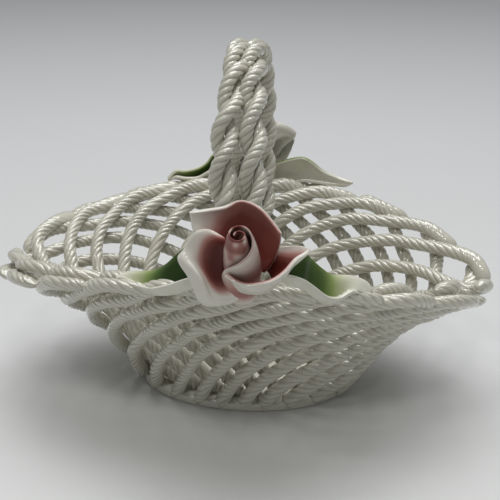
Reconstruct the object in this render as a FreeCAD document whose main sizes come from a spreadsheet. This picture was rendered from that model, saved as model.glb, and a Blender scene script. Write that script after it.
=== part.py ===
"""Ceramic basket of glazed porcelain: an open wall of laid ropes, a twisted handle and two roses.

The basket stands on XY with its base plate centred on the origin. X runs from tip to tip, Y from
the front rose to the back rose, and Z points up. Lengths are millimetres and angles are degrees.
"""
import FreeCAD, Part
import bisect
import math
import os
import Sketcher
from FreeCAD import Placement, Rotation, Vector

# Driving sizes: alias, value, meaning
SIZES = [
    ("base_half_length", 50.5, "plate, half its length along X"),
    ("base_half_width", 32.0, "plate, half its width along Y"),
    ("base_thickness", 4.0, "plate, top above the table"),
    ("base_round", 1.2, "plate, round of its upper and lower edge"),
    ("foot_half_length", 45.0, "middle of the wall's foot, along X"),
    ("foot_half_width", 25.0, "middle of the wall's foot, along Y"),
    ("rim_half_length", 102.5, "middle of the wall at a tip of the rim"),
    ("rim_half_width", 64.5, "middle of the wall at the side of the rim"),
    ("rim_tip_height", 53, "rim at a tip, above the table"),
    ("rim_side_height", 78.5, "rim at the side, above the table"),
    ("rim_back_left_rise", 7.0, "rim behind the left tip, above its mirror image on the right"),
    ("rope_diameter", 6.7, "wall rope"),
    ("rope_clearance", 0.5, "between ropes that lie on each other"),
    ("rope_tip_length", 9.0, "pointed end of a wall rope"),
    ("rope_tip_lift", 5.0, "rise of a rope's end over its neighbour on the rim"),
    ("strand_diameter", 5.7, "handle strand"),
    ("strand_clearance", 0.3, "between handle strands"),
    ("strand_pitch", 35.0, "one full twist of a pair of strands"),
    ("handle_foot_inset", 22.4, "lower end of a handle leg, in from the side of the rim"),
    ("handle_foot_depth", 12.5, "lower end of a handle leg, below the side of the rim"),
    ("handle_middle_rise", 17.5, "where the handle is widest, above the side of the rim"),
    ("handle_half_height", 63.0, "from there to the middle of its top"),
    ("front_rose_aside", 8.0, "root of the front rose, along X"),
    ("back_rose_aside", 3.0, "root of the back rose, against X"),
    ("rose_overhang", 10.5, "root of a rose, out from the side of the rim"),
    ("rose_lift", 5.4, "root of a rose, above the side of the rim"),
    ("petal_reach", 26.0, "petal edge from the middle of the rose"),
    ("petal_rise", 26.0, "petal edge above the root of the rose"),
    ("petal_half_width", 19.0, "petal at its widest"),
    ("petal_clearance", 0.3, "between the bud and the root of a petal"),
    ("petal_thickness", 1.8, "petal"),
    ("bud_radius", 7.5, "bud at its belly"),
    ("bud_lip_radius", 4.5, "bud at its lip"),
    ("bud_height", 38.0, "bud from root to lip"),
    ("bud_hollow", 5.0, "depth of the hollow in the bud"),
    ("leaf_half_width", 8.0, "leaf at its widest"),
    ("leaf_thickness", 1.8, "leaf"),
]

# Counts, angles and shares of the wall
ROPE_COUNT = 21
OUTER_SWEEP = 100.0
INNER_SWEEP = 84.0
OUTER_START = 16.0
INNER_START = 8.5
OUTER_RISE_SHARE = 1.6
INNER_RISE_SHARE = 1.5
RIM_POINT_SHARE = 1.1
SWELL_POWER = 4
SWELL_PEAK_SHARE = 0.2862
SADDLE_SHARE = 1.3
TURN_SPREAD_SHARE = 0.16
SIDE_FLARE_SHARES = (0.6, 0.4)
TIP_FLARE_SHARES = (0.9, -1.05)
TIP_LIFT_SHARE = 0.2
TIP_CROSS_SHARE = 0.3
RIM_DROP_SHARE = 0.08
ROUTE_STEPS = 8
ROPE_ROOT_SHARE = 0.08
ROPE_CUT_SHARE = 3.0
TIP_POINT_SHARE = 0.3
STRAIGHT_SHARE = 1e-5
ANGLE_STEP = 1e-4
TUBE_FILLS = []

# Handle
HANDLE_YAW = 2.5
STRAND_START = 0.0
STRANDS_PER_SIDE = 2
STATIONS_PER_TWIST = 4
HANDLE_SAMPLES = 400
HALF_TURN = 180.0
FULL_TURN = 360.0

# Roses: azimuth of each petal round the bud, then its reach, rise, width and shift as shares
ROSE_LEAN = 30.0
BUD_BELLY_SHARE = 0.4
FRONT_PETAL_SHARES = [
    (98, 0.88, 1.0, 1.0, 0.0),
    (178, 1.0, 0.47, 0.72, -0.1),
    (297, 0.48, 0.60, 1.0, -0.30),
]
BACK_PETAL_SHARES = [
    (90, 0.78, 0.95, 0.9, 0.0),
    (200, 0.9, 0.4, 0.72, 0.0),
    (335, 0.9, 0.4, 0.72, 0.0),
]
# Petal from root to edge: shares of reach, rise, half width, and cup as a share of the half width
PETAL_STATION_SHARES = [
    (0.00, 0.00, 0.25, 0.15),
    (0.35, 0.25, 0.65, 0.25),
    (0.68, 0.58, 0.95, 0.30),
    (0.90, 0.85, 0.90, 0.22),
    (1.00, 1.00, 0.50, 0.10),
]
# Leaf from root to tip: shares of length, lift and half width, and trough as one of the half width
LEAF_STATION_SHARES = [
    (0.00, 0.00, 0.40, 0.15),
    (0.25, 0.06, 0.85, 0.25),
    (0.50, 0.08, 1.00, 0.28),
    (0.78, 0.03, 0.60, 0.20),
    (1.00, -0.02, 0.12, 0.10),
]
# Leaf: name, then its root and its tip, each an angle round the rim and how far out from the rim
# and above it as shares of the rope's diameter
LEAF_PLACE_SHARES = [
    ("front_leaf_left", (-95.1, 0.49, 1.17), (-116.2, 0.41, 1.01)),
    ("front_leaf_right", (-76.6, 0.74, 1.28), (-56.6, 1.06, 1.31)),
    ("back_leaf_left", (98.4, 0.56, 1.81), (118.1, 1.02, 1.18)),
    ("back_leaf_right", (82.4, 0.54, 2.05), (61.9, 1.02, 1.52)),
]

document = FreeCAD.newDocument("ceramic_basket")
sheet = document.addObject("Spreadsheet::Sheet", "Sizes")
for row, (alias, value, meaning) in enumerate(SIZES, start=1):
    sheet.set("A%d" % row, meaning)
    sheet.set("B%d" % row, str(value))
    sheet.setAlias("B%d" % row, alias)
document.recompute()


def size(alias):
    """Length held by the sheet."""
    return float(sheet.get(alias))


# Wall surface

def flare(rise, shares):
    """Share of the way from the foot to the rim in plan, at a share of the rise."""
    first, second = shares
    return first * rise + second * rise ** 2 + (1 - first - second) * rise ** 3


def wall_point(turn, rise):
    """Point in the middle of the wall: turn is the angle round the basket, rise is 0 to 1."""
    along, across = math.cos(turn), math.sin(turn)
    foot_x = size("foot_half_length") * along
    foot_y = size("foot_half_width") * across
    rim_x = size("rim_half_length") * along
    rim_y = size("rim_half_width") * math.copysign(abs(across) ** RIM_POINT_SHARE, across)
    side, tip = flare(rise, SIDE_FLARE_SHARES), flare(rise, TIP_FLARE_SHARES)
    out = side + (tip - side) * along ** 2
    saddle = size("rim_side_height") - size("rim_tip_height")
    rim_z = size("rim_tip_height") + saddle * abs(across) ** SADDLE_SHARE
    swell = max(-along, 0) ** SWELL_POWER * max(across, 0) / SWELL_PEAK_SHARE
    rim_z += size("rim_back_left_rise") * swell
    foot_z = size("base_thickness")
    return Vector(foot_x + (rim_x - foot_x) * out, foot_y + (rim_y - foot_y) * out,
                  foot_z + (rim_z - foot_z) * rise)


def wall_normal(turn, rise):
    """Unit vector square to the wall, pointing out of the basket."""
    rise = min(max(rise, ANGLE_STEP), 1 - ANGLE_STEP)
    round_step = wall_point(turn + ANGLE_STEP, rise) - wall_point(turn - ANGLE_STEP, rise)
    up_step = wall_point(turn, rise + ANGLE_STEP) - wall_point(turn, rise - ANGLE_STEP)
    return round_step.cross(up_step).normalize()


def spread(turn):
    """Angle on the oval for an even turn round the basket: ropes stand closer round the ends."""
    return turn + TURN_SPREAD_SHARE * math.sin(2 * turn)


def rope_point(layer, start, share):
    """Point of a rope's middle line. Layer 1 is the outer layer and -1 the inner one.

    On the front rim the outer layer's ends lie over the inner ones, and on the back rim under them.
    """
    sweep, power = (OUTER_SWEEP, OUTER_RISE_SHARE) if layer > 0 else (INNER_SWEEP, INNER_RISE_SHARE)
    turn = start + layer * math.radians(sweep) * share
    order = -layer * math.sin(start + layer * math.radians(sweep))
    over, under = max(order, 0), max(-order, 0)
    climb = min(max((share - 1) / TIP_LIFT_SHARE + 1, 0), 1)
    climb = climb ** 2 * (3 - 2 * climb)
    rise = (1 - RIM_DROP_SHARE * under) * (1 - (1 - share) ** power)
    rise += climb * size("rope_tip_lift") / (size("rim_side_height") - size("base_thickness"))
    gap = (size("rope_diameter") + size("rope_clearance")) / 2
    offset = layer * gap * (1 - TIP_CROSS_SHARE * over * climb)
    return wall_point(spread(turn), rise) + wall_normal(spread(turn), rise) * offset


# Tubes along tangent arcs

def arc_edge(start, heading, end):
    """Arc from start to end that leaves start along the heading, or a line where it hardly turns."""
    chord = end - start
    aside = chord - heading * chord.dot(heading)
    if aside.Length < chord.Length * STRAIGHT_SHARE:
        return Part.LineSegment(start, end).toShape()
    radius = chord.dot(chord) / (2 * aside.Length)
    centre = start + aside.normalize() * radius
    outward = (start + end) / 2 - centre
    return Part.Arc(start, centre + outward.normalize() * radius, end).toShape()


def biarc_edges(start, heading, end, end_heading):
    """Two arcs from start to end that meet smoothly and keep both headings."""
    gap = end - start
    both = heading + end_heading
    turn = 2 * (1 - heading.dot(end_heading))
    if turn < STRAIGHT_SHARE:
        reach = gap.dot(gap) / (4 * gap.dot(end_heading))
    else:
        reach = (math.sqrt(gap.dot(both) ** 2 + turn * gap.dot(gap)) - gap.dot(both)) / turn
    joint = (start + heading * reach + end - end_heading * reach) / 2
    joint_heading = (end - end_heading * reach - start - heading * reach).normalize()
    return [arc_edge(start, heading, joint), arc_edge(joint, joint_heading, end)]


def tube(points, headings, diameter):
    """Round tube along biarcs through the points."""
    edges = []
    for here in range(len(points) - 1):
        edges += biarc_edges(points[here], headings[here], points[here + 1], headings[here + 1])
    path = Part.Wire(edges)
    section = Part.Wire([Part.Circle(points[0], headings[0], diameter / 2).toShape()])
    solid = path.makePipeShell([section], True, False)
    TUBE_FILLS.append(solid.Volume / (path.Length * math.pi * diameter ** 2 / 4))
    return solid


def route_headings(route, shares):
    """Unit headings of a route, given as a function of its share."""
    headings = []
    for share in shares:
        low, high = share - ANGLE_STEP, min(share + ANGLE_STEP, 1)
        headings.append((route(high) - route(low)).normalize())
    return headings


def add_feature(label, shape, placement=None):
    """Sub-part whose shape is made above from the sheet's sizes."""
    feature = document.addObject("Part::Feature", label)
    feature.Label = label
    feature.Shape = shape
    feature.Placement = placement or Placement()
    return feature


def cut_level(solid, root):
    """Rope without what lies below the plate's top round its root.

    The cut may leave that lower end as a solid of its own, so the upper solid is taken.
    """
    reach = ROPE_CUT_SHARE * size("rope_diameter")
    corner = Vector(root.x - reach, root.y - reach, size("base_thickness") - 2 * reach)
    pieces = solid.cut(Part.makeBox(2 * reach, 2 * reach, 2 * reach, corner)).Solids
    return max(pieces, key=lambda piece: piece.CenterOfMass.z)


def rope_solid(layer, start):
    """One rope of the wall, cut level on the plate and pointed at the rim."""
    def route(share):
        return rope_point(layer, start, share)

    diameter = size("rope_diameter")
    shares = [step / ROUTE_STEPS * (1 + ROPE_ROOT_SHARE) - ROPE_ROOT_SHARE
              for step in range(ROUTE_STEPS + 1)]
    points = [route(share) for share in shares]
    headings = route_headings(route, shares)
    point = Part.makeCone(diameter / 2, TIP_POINT_SHARE * diameter / 2, size("rope_tip_length"),
                          points[-1], headings[-1])
    return cut_level(tube(points, headings, diameter), route(0)).fuse(point)


def make_wall():
    """Both layers of ropes, each rope a sub-part."""
    for name, layer, start in (("outer", 1, OUTER_START), ("inner", -1, INNER_START)):
        for number in range(ROPE_COUNT):
            turn = math.radians(start + number * FULL_TURN / ROPE_COUNT)
            add_feature("%s_rope_%02d" % (name, number + 1), rope_solid(layer, turn))


# Base plate

def new_sketch(body, role, label):
    """Sketch on one of a body's own origin planes."""
    plane = next(item for item in body.Origin.OriginFeatures if item.Role == role)
    sketch = body.newObject("Sketcher::SketchObject", label)
    sketch.AttachmentSupport = [(plane, "")]
    sketch.MapMode = "FlatFace"
    return sketch


def tie(sketch, constraint, expression):
    """Adds a constraint and binds it to the sheet."""
    number = sketch.addConstraint(constraint)
    sketch.setExpression("Constraints[%d]" % number, expression)


def make_base_plate():
    """Flat oval plate that carries the wall."""
    body = document.addObject("PartDesign::Body", "base_plate")
    sketch = new_sketch(body, "XY_Plane", "base_outline")
    half_length, half_width = size("base_half_length"), size("base_half_width")
    oval = sketch.addGeometry(Part.Ellipse(Vector(), half_length, half_width), False)
    sketch.exposeInternalGeometry(oval)
    long_axis, short_axis = oval + 1, oval + 2
    sketch.addConstraint(Sketcher.Constraint("Coincident", oval, 3, -1, 1))
    sketch.addConstraint(Sketcher.Constraint("Horizontal", long_axis))
    tie(sketch, Sketcher.Constraint("Distance", long_axis, 2 * half_length),
        "2 * Sizes.base_half_length")
    tie(sketch, Sketcher.Constraint("Distance", short_axis, 2 * half_width),
        "2 * Sizes.base_half_width")
    slab = body.newObject("PartDesign::Pad", "base_slab")
    slab.Profile = sketch
    slab.setExpression("Length", "Sizes.base_thickness")
    document.recompute()
    edges = ["Edge%d" % (number + 1) for number, edge in enumerate(slab.Shape.Edges)
             if isinstance(edge.Curve, Part.Ellipse)]
    rounding = body.newObject("PartDesign::Fillet", "base_rounding")
    rounding.Base = (slab, edges)
    rounding.setExpression("Radius", "Sizes.base_round")


# Handle

def handle_lean():
    """Angle from the handle's widest place down to its feet."""
    return math.asin((size("handle_middle_rise") + size("handle_foot_depth"))
                     / size("handle_half_height"))


def handle_point(turn):
    """Middle of the handle: turn is 0 at the back leg and a right angle at the top."""
    half_span = (size("rim_half_width") - size("handle_foot_inset")) / math.cos(handle_lean())
    middle_height = size("rim_side_height") + size("handle_middle_rise")
    return Vector(0, half_span * math.cos(turn),
                  middle_height + size("handle_half_height") * math.sin(turn))


def handle_table():
    """Turns along the handle, front foot to back foot, and the length run to each."""
    lean = handle_lean()
    sweep = math.pi + 2 * lean
    turns = [math.pi + lean - sweep * step / HANDLE_SAMPLES for step in range(HANDLE_SAMPLES + 1)]
    runs = [0.0]
    for before, after in zip(turns, turns[1:]):
        runs.append(runs[-1] + (handle_point(after) - handle_point(before)).Length)
    return turns, runs


def strand_point(table, side, phase, share):
    """Point of a strand's middle line. Side is -1 or 1, and phase is its turn at the front foot."""
    turns, runs = table
    run = max(share, 0) * runs[-1]
    slot = min(max(bisect.bisect_right(runs, run), 1), HANDLE_SAMPLES)
    part = (run - runs[slot - 1]) / (runs[slot] - runs[slot - 1])
    turn = turns[slot - 1] + (turns[slot] - turns[slot - 1]) * part
    middle = handle_point(turn)
    heading = (handle_point(turn - ANGLE_STEP) - handle_point(turn + ANGLE_STEP)).normalize()
    pitch = size("strand_diameter") + size("strand_clearance")
    twist = phase + 2 * math.pi * run / size("strand_pitch")
    across = Vector(1, 0, 0)
    swing = across * math.cos(twist) + heading.cross(across) * math.sin(twist)
    return middle + across * (side * pitch) + swing * (pitch / 2)


def make_handle():
    """Two pairs of strands side by side, each pair twisted round itself."""
    table = handle_table()
    steps = round(STATIONS_PER_TWIST * table[1][-1] / size("strand_pitch"))
    shares = [step / steps for step in range(steps + 1)]
    spin = Rotation(Vector(0, 0, 1), HANDLE_YAW)
    for number in range(2 * STRANDS_PER_SIDE):
        side = -1 if number < STRANDS_PER_SIDE else 1
        place = number % STRANDS_PER_SIDE
        phase = math.radians(STRAND_START + FULL_TURN * place / STRANDS_PER_SIDE)

        def route(share):
            return strand_point(table, side, phase, share)

        points = [route(share) for share in shares]
        solid = tube(points, route_headings(route, shares), size("strand_diameter"))
        add_feature("handle_strand_%d" % (number + 1), solid, Placement(Vector(), spin))


# Roses and leaves

def make_bud(name, placement):
    """Rolled bud: a turned outline, belly below and lip above, with a hollow in its top."""
    body = document.addObject("PartDesign::Body", name)
    sketch = new_sketch(body, "XZ_Plane", name + "_outline")
    corners = [
        ("Sizes.bud_lip_radius", "0 * Sizes.bud_height"),
        ("Sizes.bud_radius", "%s * Sizes.bud_height" % BUD_BELLY_SHARE),
        ("Sizes.bud_lip_radius", "Sizes.bud_height"),
        ("Sizes.bud_lip_radius - Sizes.petal_thickness", "Sizes.bud_height"),
    ]
    radii = [size("bud_lip_radius"), size("bud_radius"), size("bud_lip_radius"),
             size("bud_lip_radius") - size("petal_thickness")]
    heights = [0.0, BUD_BELLY_SHARE * size("bud_height"), size("bud_height"), size("bud_height")]
    spots = [Vector(radius, height) for radius, height in zip(radii, heights)]
    spots.append(Vector(0, size("bud_height") - size("bud_hollow")))
    spots.insert(0, Vector())
    for here, there in zip(spots, spots[1:] + spots[:1]):
        sketch.addGeometry(Part.LineSegment(here, there), False)
    last = len(spots) - 1
    for line in range(last):
        sketch.addConstraint(Sketcher.Constraint("Coincident", line, 2, line + 1, 1))
    sketch.addConstraint(Sketcher.Constraint("Coincident", last, 2, 0, 1))
    sketch.addConstraint(Sketcher.Constraint("Coincident", 0, 1, -1, 1))
    sketch.addConstraint(Sketcher.Constraint("Horizontal", 0))
    sketch.addConstraint(Sketcher.Constraint("Vertical", last))
    for line, (radius, height) in enumerate(corners, start=1):
        tie(sketch, Sketcher.Constraint("DistanceX", -1, 1, line, 1, radii[line - 1]), radius)
        if line > 1:
            tie(sketch, Sketcher.Constraint("DistanceY", -1, 1, line, 1, heights[line - 1]), height)
    tie(sketch, Sketcher.Constraint("DistanceY", -1, 1, last, 1, spots[-1].y),
        "Sizes.bud_height - Sizes.bud_hollow")
    turned = body.newObject("PartDesign::Revolution", name + "_turned")
    turned.Profile = sketch
    turned.ReferenceAxis = (sketch, ["V_Axis"])
    turned.Angle = FULL_TURN
    body.Placement = placement


def crescent(middle, across, cup, push):
    """Closed section of a sheet: an arc through its ends and middle, and the same arc pushed on."""
    left, right = middle - across + cup, middle + across + cup
    return Part.Wire([
        Part.Arc(left, middle, right).toShape(),
        Part.LineSegment(right, right + push).toShape(),
        Part.Arc(right + push, middle + push, left + push).toShape(),
        Part.LineSegment(left + push, left).toShape(),
    ])


def sheet_solid(stations, thickness):
    """Solid through stations, each a middle, half the chord, and the rise of its ends as a share."""
    sections = []
    for number, (middle, across, cup_share) in enumerate(stations):
        before = stations[max(number - 1, 0)][0]
        after = stations[min(number + 1, len(stations) - 1)][0]
        under = (after - before).cross(across).normalize()
        cup = under * (-across.Length * cup_share)
        sections.append(crescent(middle, across, cup, under * thickness))
    return Part.makeLoft(sections, True, False)


def petal_solid(azimuth, reach_share, rise_share, width_share, aside_share):
    """Petal in the rose's own frame, Z along the bud, cupped towards the bud."""
    outward = Vector(math.cos(math.radians(azimuth)), math.sin(math.radians(azimuth)), 0)
    sideways = outward.cross(Vector(0, 0, 1))
    root_radius = size("bud_lip_radius") + size("petal_clearance")
    stations = []
    for reach, rise, width, cup in PETAL_STATION_SHARES:
        half = size("petal_half_width") * width * width_share
        aside = size("petal_half_width") * aside_share * rise
        out = root_radius + (size("petal_reach") * reach_share - root_radius) * reach
        middle = outward * out + sideways * aside
        middle += Vector(0, 0, size("petal_rise") * rise * rise_share)
        stations.append((middle, sideways * half, cup))
    return sheet_solid(stations, size("petal_thickness"))


def make_rose(name, placement, petal_shares):
    """Bud and petals, which share one placement."""
    make_bud(name + "_bud", placement)
    for number, shares in enumerate(petal_shares, start=1):
        add_feature("%s_petal_%d" % (name, number), petal_solid(*shares), placement)


def rim_place(degrees, out_share, up_share):
    """Point beside the rim: out from it and above it by shares of the rope's diameter."""
    turn = math.radians(degrees)
    outward = Vector(0, math.copysign(size("rope_diameter"), math.sin(turn)), 0)
    upward = Vector(0, 0, size("rope_diameter"))
    return wall_point(turn, 1) + outward * out_share + upward * up_share


def make_leaf(name, root, tip):
    """Trough-shaped leaf from its root to its tip, both in the basket's frame."""
    length = (tip - root).Length
    stations = []
    for along, lift, width, trough in LEAF_STATION_SHARES:
        half = size("leaf_half_width") * width
        stations.append((Vector(along * length, 0, lift * length), Vector(0, -half, 0), trough))
    heading = (tip - root).normalize()
    level = Vector(0, 0, 1).cross(heading).normalize()
    turn = Rotation(heading, level, heading.cross(level), "XYZ")
    add_feature(name, sheet_solid(stations, size("leaf_thickness")), Placement(root, turn))


def make_roses():
    """Front rose and back rose with their leaves, each group on its side of the rim."""
    for name, spin, aside, petal_shares in (
            ("front_rose", 0, size("front_rose_aside"), FRONT_PETAL_SHARES),
            ("back_rose", HALF_TURN, size("back_rose_aside"), BACK_PETAL_SHARES)):
        turn = Rotation(Vector(0, 0, 1), spin)
        lean = Rotation(Vector(1, 0, 0), ROSE_LEAN)
        out = size("rim_half_width") + size("rose_overhang")
        root = turn.multVec(Vector(aside, -out, size("rim_side_height") + size("rose_lift")))
        make_rose(name, Placement(root, turn * lean), petal_shares)
    for name, root_place, tip_place in LEAF_PLACE_SHARES:
        make_leaf(name, rim_place(*root_place), rim_place(*tip_place))


# Whole basket

make_base_plate()
make_wall()
make_handle()
make_roses()
document.recompute()

parts = [item for item in document.Objects
         if item.TypeId == "PartDesign::Body" or item.TypeId == "Part::Feature"]
for item in document.Objects:
    if "Invalid" in item.State or "Error" in item.State:
        raise RuntimeError("%s failed: %s" % (item.Name, item.State))
for item in parts:
    if item.Shape.isNull() or not item.Shape.isValid() or len(item.Shape.Solids) != 1:
        raise RuntimeError("%s has no sound solid" % item.Label)
    print(item.Label, "volume", round(item.Shape.Volume, 1))
print("tube volume over section times length: %.5f to %.5f" % (min(TUBE_FILLS), max(TUBE_FILLS)))

os.makedirs("parts", exist_ok=True)
for item in parts:
    item.Shape.exportStep("parts/%s.step" % item.Label)
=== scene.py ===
"""Looks of the ceramic basket: twisted ropes, handle, roses, leaves and glaze.

Lengths are millimetres until a piece is finished, then metres, as for lamps, table and glazes.
Angles are radians unless a name says degrees.
"""
import math

import bpy
from mathutils import Matrix, Vector, noise


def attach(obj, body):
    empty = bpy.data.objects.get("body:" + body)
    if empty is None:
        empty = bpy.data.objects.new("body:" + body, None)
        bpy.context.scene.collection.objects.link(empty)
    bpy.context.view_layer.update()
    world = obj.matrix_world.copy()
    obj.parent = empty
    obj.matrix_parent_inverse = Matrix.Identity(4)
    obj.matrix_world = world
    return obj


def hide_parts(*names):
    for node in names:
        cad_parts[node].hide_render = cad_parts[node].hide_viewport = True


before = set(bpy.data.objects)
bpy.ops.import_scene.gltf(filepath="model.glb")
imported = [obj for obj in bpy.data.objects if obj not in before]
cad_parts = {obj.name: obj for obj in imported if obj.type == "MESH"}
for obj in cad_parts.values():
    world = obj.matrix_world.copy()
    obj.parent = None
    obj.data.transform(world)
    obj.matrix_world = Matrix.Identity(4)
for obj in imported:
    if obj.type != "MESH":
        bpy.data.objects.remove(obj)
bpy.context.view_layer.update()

MM = 0.001
SMALL_STEP = 1e-4

# Camera: turned round the basket, tipped down, and how far from what it aims at
CAMERA_TURN, CAMERA_TIP, CAMERA_DISTANCE = math.radians(6.3), math.radians(24.6), 455.0
CAMERA_AIM_ASIDE, CAMERA_AIM_HEIGHT = 2.0, 67.4
FOCAL_PIXELS, PICTURE_PIXELS, SENSOR_WIDTH = 985, 500, 36.0

# Wall sizes as in the part
BASE_TOP = 4.0
FOOT_HALF_LENGTH, FOOT_HALF_WIDTH = 45.0, 25.0
RIM_HALF_LENGTH, RIM_HALF_WIDTH = 102.5, 64.5
RIM_TIP_HEIGHT, RIM_SIDE_HEIGHT = 53.0, 78.5
ROPE_WIDTH, ROPE_GAP = 6.7, 0.5
TIP_LENGTH, TIP_LIFT = 9.0, 5.0
ROPE_COUNT = 21

# Rise of the rim behind the left tip, less than the 7 of the part, as the photograph shows it
BACK_LEFT_RISE = 3.0

# Form of the wall: powers of the sine or cosine round it, what the largest rise behind the left
# tip is divided by to make it whole, and the flare from foot to rim
RIM_POINT_POWER, SADDLE_POWER, SWELL_POWER = 1.1, 1.3, 4
SWELL_PEAK = 0.2862
SIDE_FLARE, TIP_FLARE = (0.6, 0.4), (0.9, -1.05)

# Layers: the outer ropes go one way round and the inner ones the other way
OUTER, INNER = 1, -1
SWEEP = {OUTER: math.radians(100), INNER: math.radians(84)}
START_DEGREES = {OUTER: 16.0, INNER: 8.5}
CLIMB_POWER = {OUTER: 1.6, INNER: 1.5}
# Climb of the ropes: steeper at the left, and how they cross each other on the rim, as shares
LEFT_CLIMB = 0.2
RIM_DROP, TIP_CLIMB, INNER_TIP_LOWER, TIP_CROSS = 0.08, 0.2, 0.8, 0.3
# Ropes are pushed round towards the sides of the basket by up to the first angle, and at the back
# left by that less the second
TURN_SPREAD, BACK_LEFT_SPREAD = 0.16, 0.05
# Inner ropes at the right tip: how far they are shifted there, and how far round that reaches
RIGHT_TIP_SHIFT = Vector((1.5, 0, -4.0))
RIGHT_TIP_REACH, RIGHT_TIP_SHARES = 0.2, (0.7, 0.9)

# Steps of a rope's route up to the rim, and the length of the whole route as a share of that
ROUTE_STEPS, ROUTE_STRETCH = 140, 1.25
# Places worked out along the handle, and steps of a strand's route through them
HANDLE_STEPS, STRAND_STEPS = 400, 200

# Twist: length of a full turn, lobes round a rope, how deep the grooves between them are, and
# how deep the surface lies where they are worn away, as a share of that
ROPE_LAY, STRAND_LAY, GROOVE_DEPTH, WORN_SHARE = 23.5, 19.0, 0.5, 0.3
ROPE_FLUTES, STRAND_FLUTES, LOBE_ROUND = 6, 4, 0.7
# Mesh of a bar: corners on each lobe, and rings along it
ROPE_CORNERS, STRAND_CORNERS = 7, 9
ROPE_RINGS, STRAND_RINGS = 110, 230
# Lowest place of a rope above the table
LOWEST_ROPE = 1.5

# Unevenness along a rope: how much, how fast it changes, and its own lane of the noise
SWELLING, SWELLING_PACE, SWELLING_LANE = 0.08, 0.09, 0.0
DRIFT, DRIFT_PACE, DRIFT_LANES = 0.8, 0.05, (3.0, 6.0)
SLACK_TWIST, SLACK_PACE, SLACK_LANE = 1.6, 0.07, 9.0
# Step of the seed from one rope, or strand, to the next
ROPE_SEED, STRAND_SEED = 1.7, 0.9

# Width and thickness of a wall rope as shares: on the wall, then on the rim
ROPE_WIDE = {OUTER: (0.9, 1.26), INNER: (0.92, 1.16)}
ROPE_THICK = {OUTER: (1.0, 0.82), INNER: (1.0, 0.9)}
# Strength of its grooves, and what an inner rope loses of it on the rim, more where it is bare
ROPE_GROOVES = {OUTER: 0.9, INNER: 1.0}
WORN_GROOVES, BARE_GROOVES = 0.2, 0.7
# Lengths before its tip: where it is flat on the rim, over which it flattens, and of the round end
FLAT_FROM, FLAT_LENGTH, POINT_LENGTH = 4.0, 30.0, 6.0
# How much wider it is at its foot, and over which length that fades
FOOT_SPREAD, FOOT_RUN = 0.25, 6.0

# Rope heads: how far they reach past the rim
INNER_REACH, INNER_REACH_LEFT, INNER_REACH_FAR_LEFT = 6.0, 10.0, 7.0
OUTER_REACH, OUTER_CUT_RIGHT, OUTER_CUT_TIP = 8.0, 8.0, 10.0
# Rope heads: the length that bends, how far it is bent down and pushed outwards, and how far the
# rope sags from where before its tip
HEAD_BEND = 24.0
HEAD_DROP, INNER_DROP, INNER_DROP_LEFT, INNER_DROP_FAR_LEFT, OUTER_DROP = 1.5, 2.5, 2.0, 6.0, 2.0
INNER_PUSH, INNER_PUSH_GAIN, OUTER_PUSH = 5.5, 1.6, 3.0
INNER_SAG, INNER_SAG_LEFT, SAG_BEFORE, SAG_LENGTH = 4.5, 2.0, 60.0, 40.0
# Stretches of the rim: size of the cosine of the angle round it where they begin and are whole
LEFT_HALF, FAR_LEFT = (0.5, 0.95), (0.85, 0.95)
RIGHT_HALF, RIGHT_TIP = (0.6, 0.9), (0.98, 0.99)
# Where the grooves of the inner ropes are glazed over: size of the cosine towards the tips, and
# the sine towards the back
BARE_TIPS, BARE_BACK = (0.7, 0.9), (-0.2, 0.0)

# Handle sizes as in the part
STRAND_COUNT = 4
STRAND_WIDTH, STRAND_GAP, STRAND_PITCH = 5.7, 0.3, 35.0
HANDLE_FOOT_INSET, HANDLE_FOOT_DEPTH, HANDLE_MIDDLE_RISE, HANDLE_HALF_HEIGHT = 22.4, 12.5, 17.5, 63.0
HANDLE_YAW = math.radians(2.5)
# Strands in the looks: their width as a share, and what is left of it at their ends
STRAND_WIDE, STRAND_END, STRAND_ROUND = 1.05, 1.5, 4.0
# How much the two pairs close up towards the top, how far the left one moves over, and the sines
# of the angle round the handle where that begins and is whole
TOP_SQUEEZE, TOP_ASIDE, TOP_SINES = 0.22, 2.2, (0.5, 1.0)

# Roots of the two roses, and how far the rolled bud leans out
FRONT_ROOT = Vector((8.0, -75.0, 83.9))
BACK_ROOT = Vector((-3.0, 75.0, 83.9))
BUD_LEAN = math.radians(30)
SHEET_THICKNESS, BUD_THICKNESS = 1.6, 0.75

# Petals and leaves: points chosen on the photograph, each as its pixel across, its pixel
# down and its place along Y. Rows run from the root outwards, each from one edge to the other.
BACK_PETAL = [
    [(228, 272, -80), (233, 268, -78), (238, 265, -76.5), (244, 264, -76), (251, 266, -77),
     (257, 269, -79), (264, 273, -81)],
    [(203, 246, -78), (215, 243, -74), (229, 242, -71), (243, 241, -70), (257, 246, -72),
     (265, 254, -75.5), (273, 263, -79)],
    [(193, 230, -75), (209, 226, -71), (226, 225, -68), (242, 223, -66.5), (260, 229, -68.5),
     (269, 240, -72.5), (277, 253, -77.5)],
    [(190.5, 219, -73.5), (207, 215, -70), (225, 213, -67), (241, 209, -65.5), (259, 215, -67),
     (271, 228, -71), (280, 243, -76)],
    [(189, 212, -74), (206, 210, -71), (225, 207, -68), (240.5, 200.3, -66), (258, 206.5, -67.5),
     (272, 221, -71), (281, 233, -75)],
]
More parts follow.
